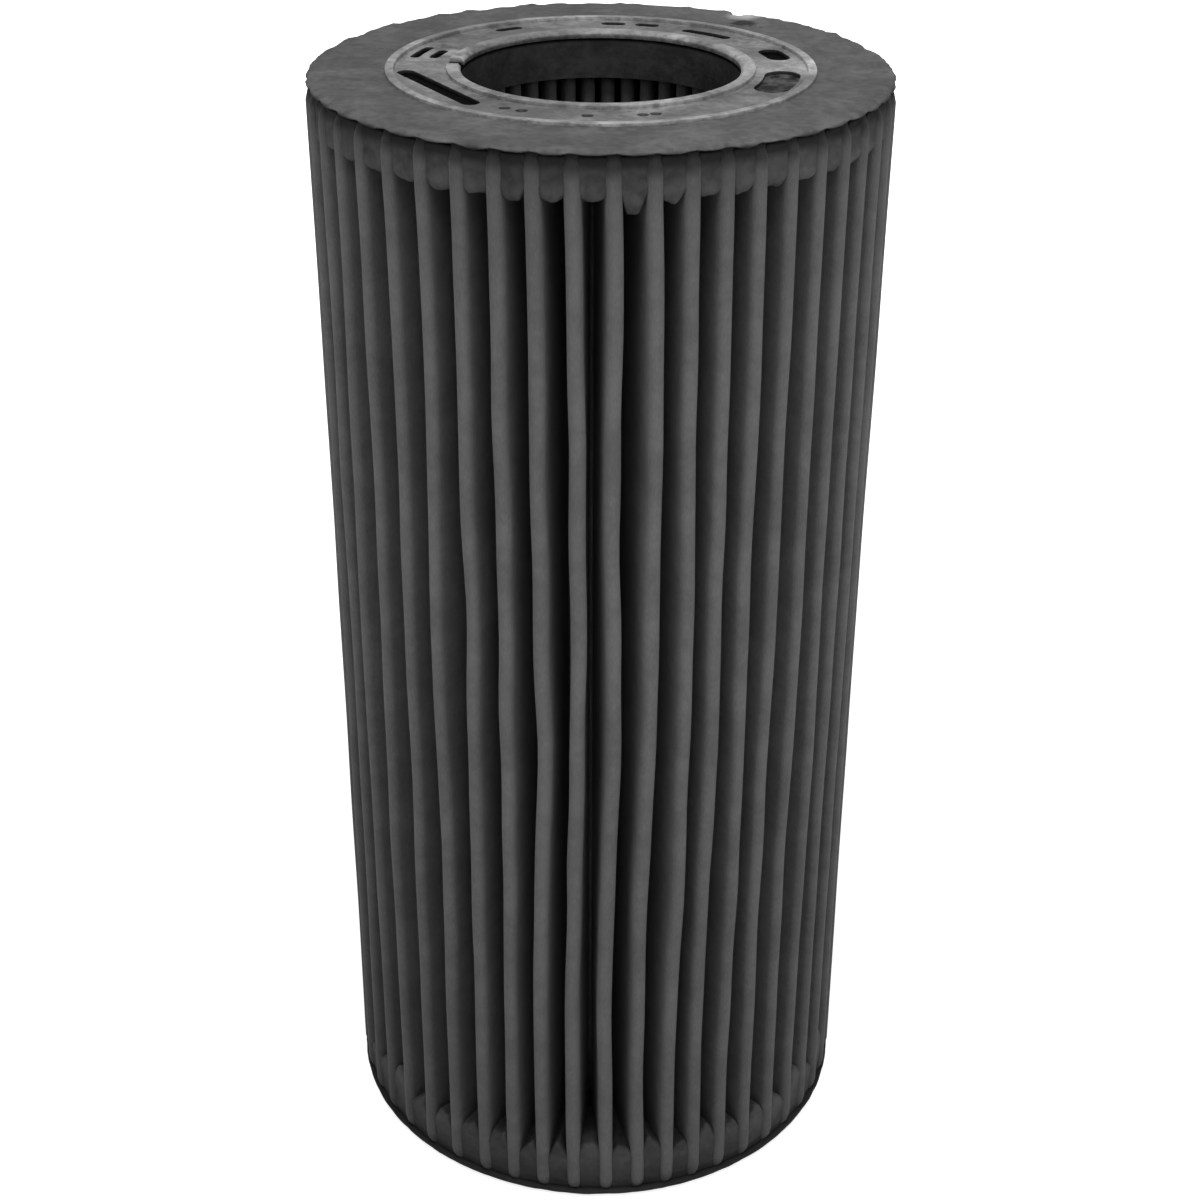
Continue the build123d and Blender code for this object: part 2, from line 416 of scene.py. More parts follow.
def make_seam():
    """The glued lap, a second thickness of the sheet on the leg that follows one outer fold."""
    deselect()
    bpy.ops.mesh.primitive_grid_add(x_subdivisions=4, y_subdivisions=ROWS, size=1, location=(0.5, 0.5, 0))
    seam = bpy.context.object
    finish_place(seam)
    start, end = leg(tip_centre(SEAM_PLEAT), TIP_BEND, root_centre(SEAM_PLEAT), ROOT_BEND, 1)
    along = (end - start).normalized()
    aside = turned(along, 90) * SHEET
    for vertex in seam.data.vertices:
        point = start + along * (SEAM_INSET + SEAM_LAP * vertex.co.x) + aside
        vertex.co = (point.x, point.y, PACK_BOTTOM + (PACK_TOP - PACK_BOTTOM) * vertex.co.y)
    numbers = seam.data.attributes.new("pleat", "FLOAT", "POINT")
    numbers.data.foreach_set("value", [float(SEAM_PLEAT)] * len(seam.data.vertices))
    return seam


# --- Potting between the pleats ---
def flank(pleat, side, radius):
    """Point on the outside of a pleat's leg, or of its outer bend, at a radius."""
    tip = tip_centre(pleat % PLEATS)
    root = root_centre(pleat % PLEATS) if side == 1 else root_centre(pleat % PLEATS - 1)
    outer, inner = TIP_BEND + SHEET / 2, ROOT_BEND - SHEET / 2
    leave, enter = leg(tip, outer, root, inner, side)
    if radius >= leave.length:
        out = tip.normalized()
        rise = min(max((radius - tip.length) / outer, -1), FLANK_LIMIT)
        return tip + out * rise * outer + turned(out, 90 * side) * outer * math.sqrt(1 - rise**2)
    share = (leave.length - radius) / (leave.length - enter.length)
    return leave.lerp(enter, share)


def make_web_blank():
    """A unit block that every web is shaped from: x across the valley, y inward and z along the axis."""
    deselect()
    bpy.ops.mesh.primitive_grid_add(
        x_subdivisions=WEB_ACROSS, y_subdivisions=WEB_ALONG, size=1,
        location=(0.5, 0, 0.5), rotation=(math.pi / 2, 0, 0),
    )
    blank = bpy.context.object
    finish_place(blank)
    bpy.ops.object.mode_set(mode="EDIT")
    bpy.ops.mesh.select_all(action="SELECT")
    for _ in WEB_DEPTHS[1:]:
        bpy.ops.mesh.extrude_region_move(TRANSFORM_OT_translate={"value": (0, 1, 0)})
    face_outwards()
    return blank


def shape_web(web, pleat, end):
    """Shapes one web in the valley after a pleat: a wall flush between the pleats, with a bulging lip."""
    rng = random.Random(100 * pleat + end["draws"])
    lobe = end["lobe"] * rng.uniform(*LOBE_SIZES)
    lean, crest, phase = rng.uniform(*LOBE_LEANS), rng.uniform(*LOBE_CRESTS), rng.uniform(0, 100)
    creep = end["creep"] * rng.uniform(*CREEP_SIZES)
    drip = end["drips"].get(pleat, 0)
    across_rate, along_rate, inward_rate = WALL_RATES
    for vertex in web.data.vertices:
        across, depth, along = vertex.co.x, WEB_DEPTHS[round(vertex.co.y)], vertex.co.z
        front = 1 - depth / WEB_DEPTHS[-1]
        # The wall leans in a little at the rim and bulges just before its edge, which is rounded under
        bulge = end["bulge"] * hump(along, BULGE_PLACE, BULGE_LENGTH) * math.sin(math.pi * across)
        under = end["under"] * fade(along, UNDER_START, 1 - UNDER_START) ** 2
        uneven = noise.noise(Vector((across * across_rate + phase, along * along_rate, depth * inward_rate)))
        wall = bulge - under + WALL_UNEVEN * uneven - WALL_LEAN * (1 - along) ** 2
        radius = POTTING_RADIUS + wall * front - depth
        left, right = flank(pleat, 1, radius), flank(pleat + 1, -1, radius)
        share = (1 + 2 * WEB_OVERLAP) * across - WEB_OVERLAP
        point = left.lerp(right, share).normalized() * radius
        # The edge reaches furthest at the crest of a lobe and leans to one side
        crown = hump(across, crest, LOBE_HALF_WIDTH, FLAT_TOPPED)
        ragged = noise.noise(Vector((across * EDGE_RATES[0] + phase, depth * EDGE_RATES[1], EDGE_PLACE)))
        hang = drip * hump(across, DRIP_PLACE, DRIP_HALF_WIDTH, FLAT_TOPPED)
        fall = lobe * (crown * (1 + EDGE_RAGGED * ragged) + lean * (across - 0.5) - 0.5) + hang
        fall = fall * front + creep * front**0.5
        edge = end["edge"] + end["inward"] * fall
        vertex.co = (point.x, point.y, end["held"] + (edge - end["held"]) * along)


def make_webs(end):
    """The webs of potting of one end cap, joined and rounded off."""
    blank = make_web_blank()
    webs = []
    for pleat in range(PLEATS):
        web = bpy.data.objects.new("web", blank.data.copy())
        bpy.context.scene.collection.objects.link(web)
        shape_web(web, pleat, end)
        webs.append(web)
    bpy.data.objects.remove(blank)
    webs = joined(webs, "webs")
    apply_modifier(webs, "SUBSURF", levels=1, render_levels=1)
    return webs


def make_rim(end):
    """The rounded, slightly ragged rim of an end cap, undercut where the outer folds end."""
    section = end["rim"]
    deselect()
    bpy.ops.mesh.primitive_torus_add(
        major_segments=RIM_SEGMENTS, minor_segments=len(section), major_radius=OUTER_RADIUS, minor_radius=MM
    )
    rim = bpy.context.object
    folds = [bearing_of(*tip_centre(pleat)) for pleat in range(PLEATS)]
    place = end["edge"] * RAGGED_PLACE
    for index, vertex in enumerate(rim.data.vertices):
        out, up = section[index % len(section)]
        bearing = bearing_of(vertex.co.x, vertex.co.y)
        x, y = on_plane(1.0, bearing)
        ragged = noise.noise(Vector((x * RAGGED_RATE, y * RAGGED_RATE, place)))
        fine = noise.noise(Vector((x * FINE_RATE, y * FINE_RATE, place + FINE_PLACE)))
        worn = fade(out, RIM_EDGE_START, RIM_EDGE_WIDTH) * end["ragged"]
        nearest = min(apart(bearing, fold) for fold in folds)
        pinch = FOLD_PINCH * hump(nearest, 0, FOLD_PINCH_WIDTH)
        out -= worn * (DRAWN_IN + RAGGED_IN * ragged + FINE_IN * fine + pinch)
        up -= worn * (DRAWN_DOWN + RAGGED_DOWN * ragged + FINE_DOWN * fine - pinch)
        if end["nick"] is not None:
            chip = max(0, 1 - (apart(bearing, end["nick"]) / NICK_HALF_WIDTH) ** 2)
            chip *= fade(out, NICK_START, NICK_SLOPE)
            out, up = out - NICK_IN * chip, up - NICK_DOWN * chip
        x, y = on_plane(OUTER_RADIUS + out * MM, bearing)
        vertex.co = (x, y, end["face"] - end["inward"] * max(up, RIM_LOWEST) * MM)
    return rim


def make_cap(end):
    """An end cap: the body of the CAD solid drawn in behind a ragged rim and the webs of potting."""
    core = copy_of_node(end["node"], "core")
    for vertex in core.data.vertices:
        x, y, z = vertex.co
        radius = math.hypot(x, y)
        at_face = abs(z - end["held"]) < TOUCHING or abs(z - end["face"]) < RIM_BEVEL_REACH
        limit = FACE_RADIUS if at_face else CORE_RADIUS
        if radius > limit:
            vertex.co = (x * limit / radius, y * limit / radius, z)
    cap = joined([core, make_rim(end), make_webs(end)], end["name"])
    take(cap)
    bpy.ops.object.mode_set(mode="EDIT")
    face_outwards()
    smooth(cap, CAP_CREASE)
    return cap


# --- Bore rings ---
def make_ring(node, rim_height, outward):
    """A bore ring with its edges softened, and the round marks that its ejectors left in the channel."""
    ring = copy_of_node(node, node + "_moulding")
    apply_modifier(
        ring, "BEVEL", width=RING_EDGE_ROUND, segments=2,
        limit_method="ANGLE", angle_limit=math.radians(RING_EDGE_ANGLE),
    )
    marks = []
    for bearing in EJECTOR_BEARINGS:
        deselect()
        x, y = on_plane(EJECTOR_RADIUS, bearing * outward)
        bpy.ops.mesh.primitive_uv_sphere_add(
            segments=24, ring_count=12, radius=EJECTOR_BALL,
            location=(x, y, rim_height + outward * EJECTOR_RISE),
        )
        marks.append(bpy.context.object)
    marks = joined(marks, "marks")
    finish_place(marks)
    apply_modifier(ring, "BOOLEAN", object=marks, operation="DIFFERENCE", solver="EXACT")
    bpy.data.objects.remove(marks)
    smooth(ring, RING_CREASE)
    return ring


# --- Node groups ---
def add_node(tree, kind, inputs=None, **settings):
    """A shader node with its settings, and its inputs set or linked."""
    made = tree.nodes.new(kind)
    for key, value in settings.items():
        setattr(made, key, value)
    for key, value in (inputs or {}).items():
        if isinstance(value, bpy.types.NodeSocket):
            tree.links.new(value, made.inputs[key])
        else:
            made.inputs[key].default_value = value
    return made


def maths(tree, operation, first, second=0.0, third=0.0):
    """The result of an operation on values."""
    return add_node(tree, "ShaderNodeMath", {0: first, 1: second, 2: third}, operation=operation).outputs[0]


def ramp(tree, value, low, high, first=0.0, last=1.0):
    """A straight rise from first to last as the value goes from low to high."""
    made = add_node(tree, "ShaderNodeMapRange", {
        "Value": value, "From Min": low, "From Max": high, "To Min": first, "To Max": last,
    })
    return made.outputs[0]


def toned(tree, shade, value, low, high, first=0.0, last=1.0):
    """A shade multiplied by a ramp."""
    return maths(tree, "MULTIPLY", shade, ramp(tree, value, low, high, first, last))


def mottled(tree, shade, mask, least, most):
    """A shade multiplied by least where a mask is 0, and by most where it is 1."""
    return toned(tree, shade, mask, 0, 1, least, most)


def mix(tree, share, first, second):
    """A value from first to second, as the share goes from 0 to 1."""
    return add_node(tree, "ShaderNodeMix", {0: share, 2: first, 3: second}).outputs[0]


def new_group(name, inputs, outputs):
    """An empty node group with named sockets: returns it with its input and output nodes."""
    group = bpy.data.node_groups.new(name, "ShaderNodeTree")
    for label, kind, value in inputs:
        socket = group.interface.new_socket(label, in_out="INPUT", socket_type=kind)
        if value is not None:
            socket.default_value = value
    for label, kind in outputs:
        group.interface.new_socket(label, in_out="OUTPUT", socket_type=kind)
    return group, group.nodes.new("NodeGroupInput"), group.nodes.new("NodeGroupOutput")


FIBRE_LAYERS = ((0.4, 0.16), (1.5, 0.22), (2.5, 0.18))  # turn of each layer in radians, and its stretch


def fibre_group():
    """Felt of short fibres laid every way: a shade and a height."""
    group, given, out = new_group(
        "fibre felt",
        [("Vector", "NodeSocketVector", None), ("Fibre width", "NodeSocketFloat", 0.08 * MM)],
        [("Shade", "NodeSocketFloat"), ("Height", "NodeSocketFloat")],
    )
    fineness = maths(group, "DIVIDE", 1.0, given.outputs["Fibre width"])
    layers = []
    for turn, stretch in FIBRE_LAYERS:
        laid = add_node(group, "ShaderNodeMapping", {
            "Vector": given.outputs["Vector"], "Rotation": (turn, 0.5 * turn, turn), "Scale": (1, 1, stretch),
        })
        grain = add_node(group, "ShaderNodeTexNoise", {
            "Vector": laid.outputs[0], "Scale": fineness, "Detail": 2.0, "Roughness": 0.6,
        })
        layers.append(grain.outputs[0])
    top = maths(group, "MAXIMUM", maths(group, "MAXIMUM", layers[0], layers[1]), layers[2])
    group.links.new(ramp(group, top, 0.45, 0.75), out.inputs["Shade"])
    group.links.new(top, out.inputs["Height"])
    return group


FINE_GRAINS = 4.5  # grains of the finer pattern to a patch


def mottle_group():
    """Cloudy patches from 0 to 1, with a finer grain mixed in."""
    group, given, out = new_group(
        "cloudy mottle",
        [("Vector", "NodeSocketVector", None), ("Patch size", "NodeSocketFloat", 10 * MM),
         ("Grain", "NodeSocketFloat", 0.3)],
        [("Mask", "NodeSocketFloat")],
    )
    clouds = add_node(group, "ShaderNodeTexNoise", {
        "Vector": given.outputs["Vector"], "Scale": maths(group, "DIVIDE", 1.0, given.outputs["Patch size"]),
        "Detail": 4.0, "Roughness": 0.62, "Distortion": 0.4,
    })
    fineness = maths(group, "DIVIDE", FINE_GRAINS, given.outputs["Patch size"])
    fine = add_node(group, "ShaderNodeTexNoise", {
        "Vector": given.outputs["Vector"], "Scale": fineness, "Detail": 3.0, "Roughness": 0.6,
    })
    mixed = mix(group, given.outputs["Grain"], clouds.outputs[0], fine.outputs[0])
    group.links.new(ramp(group, mixed, 0.41, 0.59), out.inputs["Mask"])
    return group


def speck_group():
    """Scattered specks and small pits: 1 inside a speck and 0 elsewhere."""
    group, given, out = new_group(
        "specks",
        [("Vector", "NodeSocketVector", None), ("Spacing", "NodeSocketFloat", 2 * MM),
         ("Size", "NodeSocketFloat", 0.15)],
        [("Mask", "NodeSocketFloat")],
    )
    cells = add_node(group, "ShaderNodeTexVoronoi", {
        "Vector": given.outputs["Vector"], "Scale": maths(group, "DIVIDE", 1.0, given.outputs["Spacing"]),
        "Randomness": 1.0,
    })
    inside = ramp(group, cells.outputs["Distance"], given.outputs["Size"], 0.0)
    group.links.new(inside, out.inputs["Mask"])
    return group


# --- Helpers for the materials ---
def grey(tree, value):
    """A neutral colour from one value."""
    return add_node(tree, "ShaderNodeCombineColor", {"Red": value, "Green": value, "Blue": value}).outputs[0]


def bump(tree, height, strength, distance):
    """A normal that follows a height."""
    made = add_node(tree, "ShaderNodeBump", {"Height": height, "Strength": strength, "Distance": distance})
    return made.outputs[0]


def mottle(tree, place, patch, grain):
    """The mask of a cloudy mottle with patches of a size."""
    made = add_node(
        tree, "ShaderNodeGroup", {"Vector": place, "Patch size": patch, "Grain": grain}, node_tree=MOTTLE
    )
    return made.outputs["Mask"]


def specks(tree, place, spacing, size):
    """The mask of specks of a size, as a share of their spacing."""
    made = add_node(
        tree, "ShaderNodeGroup", {"Vector": place, "Spacing": spacing, "Size": size}, node_tree=SPECKS
    )
    return made.outputs["Mask"]


def frayed_distance(tree, place, spot, height, fray, clouds):
    """Distance from a spot on the plane at a height, made uneven by a mottle."""
    centre = (spot.x, spot.y, height)
    away = add_node(tree, "ShaderNodeVectorMath", {0: place, 1: centre}, operation="DISTANCE")
    return maths(tree, "MULTIPLY_ADD", clouds, fray, away.outputs["Value"])


def new_material(name, **shader_values):
    """A material with an empty tree but for its shader and output, and its object coordinates."""
    material = bpy.data.materials.new(name)
    material.use_nodes = True
    tree = material.node_tree
    tree.nodes.clear()
    shader = tree.nodes.new("ShaderNodeBsdfPrincipled")
    for key, value in shader_values.items():
        shader.inputs[key.replace("_", " ")].default_value = value
    output = tree.nodes.new("ShaderNodeOutputMaterial")
    tree.links.new(shader.outputs[0], output.inputs["Surface"])
    place = tree.nodes.new("ShaderNodeTexCoord").outputs["Object"]
    return material, tree, shader, place


def surface(tree, shader, shade, normal, roughness=None):
    """Links a shade, a normal and a roughness that varies to a shader."""
    tree.links.new(grey(tree, shade), shader.inputs["Base Color"])
    tree.links.new(normal, shader.inputs["Normal"])
    if roughness is not None:
        tree.links.new(roughness, shader.inputs["Roughness"])


FIBRE = fibre_group()
MOTTLE = mottle_group()
SPECKS = speck_group()

# --- Tones of the filter media, with its painted light and shade ---
# Painted shade in the valleys, and painted light on the outer and inner folds
VALLEY_SHADE_TONE = 0.041
FOLD_LIT_TONE = 0.100
TIP_HIGHLIGHT = 0.035  # painted highlight added at the very tip
INNER_FOLD_LIT_TONE = 0.17
FIBRE_WIDTH = 0.16 * MM
END_DARKENING_FRAY = 0.8 * MM
# The tone is darker towards both ends, and darker towards the foot.
# Each row: the height where the tone is darkest, the height where it is plain again, and the darkest share
END_DARKENING = (
    (PACK_TOP - 0.7 * MM, PACK_TOP - 2.3 * MM, 0.3),
    (PACK_TOP, PACK_TOP - 7 * MM, 0.6),
    (PACK_TOP, PACK_TOP - 28 * MM, 0.82),
    (PACK_BOTTOM + 1.2 * MM, PACK_BOTTOM + 3.0 * MM, 0.5),
    (PACK_BOTTOM, PACK_BOTTOM + 9 * MM, 0.7),
    (PACK_BOTTOM, PACK_BOTTOM + 110 * MM, 0.65),
)
SIDE_START, SIDE_SHADE_FULL = 12 * MM, 38 * MM  # how far across the painted side tones begin, and where the painted shade is in full
LEFT_SIDE_SHADE, RIGHT_SIDE_SHADE = 0.4, 0.22  # how much the painted shade darkens the sides of the element

# --- Tones of the end caps, with their painted light and shade ---
# Painted light and shade of one resin: a lit face, a shaded wall, a shadow under the rim and a shaded bore
CAP_FACE_LIT_TONE = 0.106
UNDER_RIM_SHADOW_TONE = 0.018
CAP_WALL_SHADED_TONE = 0.042
CAP_LIP_HIGHLIGHT = 0.026  # painted highlight added towards the bulging edge of the potting
LOW_WALL = 0.62  # share of the tone that the wall keeps at the foot
PALE_SIDE = 36 * MM
LEFT_PALER, RIGHT_PALER = 0.3, 0.5  # how much paler the wall is painted at the sides of the element than in front, as painted light
CAP_BORE_SHADED_TONE = 0.036
RECESS_SHADE_TONE, RECESS_LIGHTER_TONE = 0.002, 0.09  # painted shade in the recess: its darkest tone, and its lighter tone on one side
CAP_GLOSS, RECESS_GLOSS = 0.16, 0.02
SPOT_FRAY = 1.6 * MM
# Chipped material is pale, and a dark scuff lies beside the chip: bearing, radius, size and tone
CAP_SPOTS = (
    (NICK_BEARING - 2.5, OUTER_RADIUS - 2.4 * MM, 3.2 * MM, 0.36),
    (NICK_BEARING - 6.5, OUTER_RADIUS - 7.0 * MM, 2.5 * MM, 0.02),
)

# --- Tones of the bore rings ---
RING_TONE = 0.33
CHANNEL_SHADE, RIM_SHADE = 0.44, 0.93  # shares of the tone low in the channel and on the rims
WINDOW_WALL_SHADE = 0.8  # how much painted shade darkens the walls of the windows
RING_SPOT_FRAY = 1.4 * MM
# Paler patches, and a painted highlight with painted shade round it where a small moulded hook stands:
# bearing, radius, size and share
RING_SPOTS = (
    (2, 27.0 * MM, 6.0 * MM, 1.4),
    (157, 23.4 * MM, 4.2 * MM, 0.55),
    (158, 23.0 * MM, 2.6 * MM, 2.7),
    (178, 26.5 * MM, 6.0 * MM, 1.4),
    (205, 28.6 * MM, 5.5 * MM, 1.3),
)


# --- Materials ---
def media_material():
    """Rough felt with painted light and shade: painted pale along the outer folds and dark in the valleys."""
    material, tree, shader, place = new_material("filter media", Roughness=0.92, Sheen_Weight=0.05)
    axes = add_node(tree, "ShaderNodeSeparateXYZ", {0: place})
    side, height = axes.outputs["X"], axes.outputs["Z"]
    reach = add_node(tree, "ShaderNodeAttribute", attribute_name="reach").outputs["Fac"]
    felt = add_node(tree, "ShaderNodeGroup", {"Vector": place, "Fibre width": FIBRE_WIDTH}, node_tree=FIBRE)
    clouds = mottle(tree, place, patch=12 * MM, grain=0.35)
    # Painted light and shade: the outer folds are painted paler with a painted highlight at the tip, the
    # valleys are painted dark, and the inner folds are painted paler
    shade = ramp(tree, reach, 0.3, 0.8, VALLEY_SHADE_TONE, FOLD_LIT_TONE)
    shade = maths(tree, "ADD", shade, ramp(tree, reach, 0.9, 1.0, 0.0, TIP_HIGHLIGHT))
    shade = maths(tree, "MAXIMUM", shade, ramp(tree, reach, 0.02, 0.10, INNER_FOLD_LIT_TONE, 0.0))
    # Darker towards both ends and towards the foot, along an uneven line
    uneven = maths(tree, "MULTIPLY_ADD", clouds, END_DARKENING_FRAY, height)
    for start, end, least in END_DARKENING:
        shade = toned(tree, shade, uneven, start, end, least, 1.0)
    # Painted shade on the outer folds of the sides, stronger lower down
    side_shade = ramp(tree, side, -SIDE_START, -SIDE_SHADE_FULL, 0.0, LEFT_SIDE_SHADE)
    side_shade = maths(tree, "ADD", side_shade, ramp(tree, side, SIDE_START, SIDE_SHADE_FULL, 0.0, RIGHT_SIDE_SHADE))
    side_shade = toned(tree, side_shade, height, 0.0, PACK_TOP, 1.0, 0.0)
    side_shade = toned(tree, side_shade, reach, 0.75, 0.95)
    shade = maths(tree, "MULTIPLY", shade, maths(tree, "SUBTRACT", 1.0, side_shade))
    shade = mottled(tree, shade, felt.outputs["Shade"], 0.84, 1.12)
    shade = mottled(tree, shade, clouds, 0.86, 1.12)
    surface(tree, shader, shade, bump(tree, felt.outputs["Height"], strength=0.35, distance=0.1 * MM))
    return material


def cap_material():
    """Cast resin, cloudy and specked, with painted light and shade: pale on the face, darker down the wall,
    and dark in the bore and the recess.
    """
    material, tree, shader, place = new_material("cast end cap", Specular_IOR_Level=CAP_GLOSS)
    axes = add_node(tree, "ShaderNodeSeparateXYZ", {0: place})
    x, y, height = axes.outputs["X"], axes.outputs["Y"], axes.outputs["Z"]
    # Depth below the nearer face of the element
    from_middle = maths(tree, "ABSOLUTE", maths(tree, "SUBTRACT", height, TOP_FACE - CAP_HALF_SPAN))
    depth = maths(tree, "SUBTRACT", CAP_HALF_SPAN, from_middle)
    radius = maths(tree, "SQRT", maths(tree, "MULTIPLY_ADD", x, x, maths(tree, "MULTIPLY", y, y)))
    clouds = mottle(tree, place, patch=6 * MM, grain=0.45)
    stains = mottle(tree, place, patch=22 * MM, grain=0.2)
    # Painted light and shade: the face is painted paler than the wall as if lit from above, the wall has a
    # painted shadow under the rim and a painted highlight towards its lip, and darkest of all is the painted
    # shadow line under the rim
    face = ramp(tree, depth, 0.25 * MM, 0.6 * MM, CAP_FACE_LIT_TONE, UNDER_RIM_SHADOW_TONE)
    wall = ramp(tree, depth, 1.3 * MM, 2.8 * MM, 0.0, CAP_WALL_SHADED_TONE)
    wall = maths(tree, "ADD", wall, ramp(tree, depth, 3.5 * MM, 6.8 * MM, 0.0, CAP_LIP_HIGHLIGHT))
    wall = toned(tree, wall, height, 0.0, TOP_FACE, LOW_WALL, 1.0)
    # Painted light: the wall is painted paler at the sides of the element
    sides = ramp(tree, x, -SIDE_START, -PALE_SIDE, 1.0, 1.0 + LEFT_PALER)
    sides = maths(tree, "ADD", sides, ramp(tree, x, SIDE_START, PALE_SIDE, 0.0, RIGHT_PALER))
    shade = maths(tree, "MAXIMUM", face, maths(tree, "MULTIPLY", wall, sides))
    for bearing, spot_radius, size, tone in CAP_SPOTS:
        frayed = frayed_distance(tree, place, on_plane(spot_radius, bearing), TOP_FACE, SPOT_FRAY, clouds)
        shade = mix(tree, ramp(tree, frayed, 1.3 * size, 0.7 * size), shade, tone)
    # The bore wall is painted as a shaded copy of the resin
    bore = ramp(tree, radius, BORE_RADIUS + 0.5 * MM, BORE_RADIUS + 1.0 * MM, 1.0, 0.0)
    shade = mix(tree, bore, shade, CAP_BORE_SHADED_TONE)
    # Painted shade fills the recess under the ring, lighter on one side
    recess = ramp(tree, radius, RING_RADIUS - 0.1 * MM, RING_RADIUS, 1.0, 0.0)
    recess = toned(tree, recess, depth, 0.8 * MM, 1.2 * MM, 1.0, 0.0)
    recess_shade = ramp(tree, maths(tree, "SUBTRACT", x, y), 20 * MM, 30 * MM, RECESS_SHADE_TONE, RECESS_LIGHTER_TONE)
    shade = mix(tree, recess, shade, mottled(tree, recess_shade, clouds, 0.4, 1.4))
    tree.links.new(ramp(tree, recess, 0.0, 1.0, CAP_GLOSS, RECESS_GLOSS), shader.inputs["Specular IOR Level"])
    shade = mottled(tree, shade, clouds, 0.72, 1.24)
    shade = mottled(tree, shade, stains, 0.84, 1.12)
    shade = mottled(tree, shade, specks(tree, place, spacing=3.5 * MM, size=0.16), 1.0, 0.7)
    roughness = ramp(tree, clouds, 0, 1, 0.6, 0.8)
    surface(tree, shader, shade, bump(tree, clouds, strength=0.3, distance=0.2 * MM), roughness)
    return material


def ring_material():
    """Pale moulded plastic, stained and specked, darker down in the channel, with painted shade in the
    windows and a painted highlight.
    """
    material, tree, shader, place = new_material("bore ring plastic", Specular_IOR_Level=0.35)
    height = add_node(tree, "ShaderNodeSeparateXYZ", {0: place}).outputs["Z"]
    # Distance from the middle of the element, which is the most at the rims of either ring
    middle = RING_TOP / 2
    level = maths(tree, "ABSOLUTE", maths(tree, "SUBTRACT", height, middle))
    clouds = mottle(tree, place, patch=5 * MM, grain=0.4)
    stains = mottle(tree, place, patch=14 * MM, grain=0.1)
    shade = maths(tree, "MULTIPLY", ramp(tree, clouds, 0, 1, 0.62, 1.24), RING_TONE)
    shade = toned(tree, shade, level, middle - 0.75 * MM, middle - 0.1 * MM, CHANNEL_SHADE, RIM_SHADE)
    shade = mottled(tree, shade, stains, 0.68, 1.2)
    shade = mottled(tree, shade, specks(tree, place, spacing=2.8 * MM, size=0.22), 1.0, 0.6)
    # The walls of the windows are painted dark as painted shade, and the wall of the bore is not
    flat = add_node(tree, "ShaderNodeVectorMath", {0: place, 1: (1, 1, 0)}, operation="MULTIPLY")
    radius = add_node(tree, "ShaderNodeVectorMath", {0: flat.outputs["Vector"]}, operation="LENGTH")
    walls = ramp(tree, level, middle - 0.6 * MM, middle - 0.52 * MM, WINDOW_WALL_SHADE, 0.0)
    walls = toned(tree, walls, radius.outputs["Value"], BORE_RADIUS + 0.1 * MM, BORE_RADIUS + 0.4 * MM)
    shade = maths(tree, "MULTIPLY", shade, maths(tree, "SUBTRACT", 1.0, walls))
    # Paler patches, and at 157 and 158 degrees a painted highlight inside painted shade
    for bearing, spot_radius, size, tone in RING_SPOTS:
        frayed = frayed_distance(tree, place, on_plane(spot_radius, bearing), RING_TOP, RING_SPOT_FRAY, clouds)
        shade = toned(tree, shade, frayed, 1.3 * size, 0.8 * size, 1.0, tone)
    roughness = ramp(tree, clouds, 0, 1, 0.5, 0.72)
    surface(tree, shader, shade, bump(tree, clouds, strength=0.5, distance=0.2 * MM), roughness)
    return material


def dress(piece, material):
    """Gives a piece one material, in place of any that it has."""
    piece.data.materials.clear()
    piece.data.materials.append(material)


# --- The pieces ---
MEDIA_FINISH = media_material()
CAP_FINISH = cap_material()
RING_FINISH = ring_material()

# The two ends. Draws starts the random shapes of the webs. Face, held and edge are the heights of the cap's
# face, of the ends of the pleats and of the edge of the potting, and inward is the way in from the face.
# Lobe, drips and creep shape that edge, and bulge and under shape the wall that leads to it.
# Rim is the section of the rim, ragged says how uneven the rim is, and nick is the bearing of the chip.
TOP_END = {
    "name": "top_cap_casting", "node": "top_end_cap", "draws": 15,
    "face": TOP_FACE, "held": PACK_TOP, "edge": TOP_POTTING_EDGE, "inward": -1,
    "lobe": 0.6 * MM, "drips": {0: 1.5 * MM}, "creep": 0.0, "bulge": 0.28 * MM, "under": 0.6 * MM,
    "rim": TOP_RIM, "ragged": 1.0, "nick": NICK_BEARING,
}
BOTTOM_END = {
    "name": "bottom_cap_casting", "node": "bottom_end_cap", "draws": 18,
    "face": BOTTOM_FACE, "held": PACK_BOTTOM, "edge": BOTTOM_POTTING_EDGE, "inward": 1,
    "lobe": 1.6 * MM, "drips": {}, "creep": 2.8 * MM, "bulge": 0.12 * MM, "under": 0.4 * MM,
    "rim": BOTTOM_RIM, "ragged": 0.3, "nick": None,
}

media = make_media()
dress(media, MEDIA_FINISH)
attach(media, "root")
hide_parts("pleated_media")

for end in (TOP_END, BOTTOM_END):
    cap = make_cap(end)
    dress(cap, CAP_FINISH)
    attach(cap, "root")
    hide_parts(end["node"])

for ring_node, rim_height, outward in (("top_bore_ring", RING_TOP, 1), ("bottom_bore_ring", 0, -1)):
    ring = make_ring(ring_node, rim_height, outward)
    dress(ring, RING_FINISH)
    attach(ring, "root")
    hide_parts(ring_node)


# --- Floor, light and camera ---
WHITE = (1, 1, 1, 1)
FLOOR_COLOUR = (0.9, 0.9, 0.9, 1)
FLOOR_SIZE = 6
FLOOR_GLOW = 1.8
FLOOR_NEAR, FLOOR_FAR = 0.1, 0.6  # distances between which the floor's own colour gives way to white
FLOOR_NEAR_SHARE = 0.45
ROOM_LIGHT = 0.23
BACKDROP = 1.1
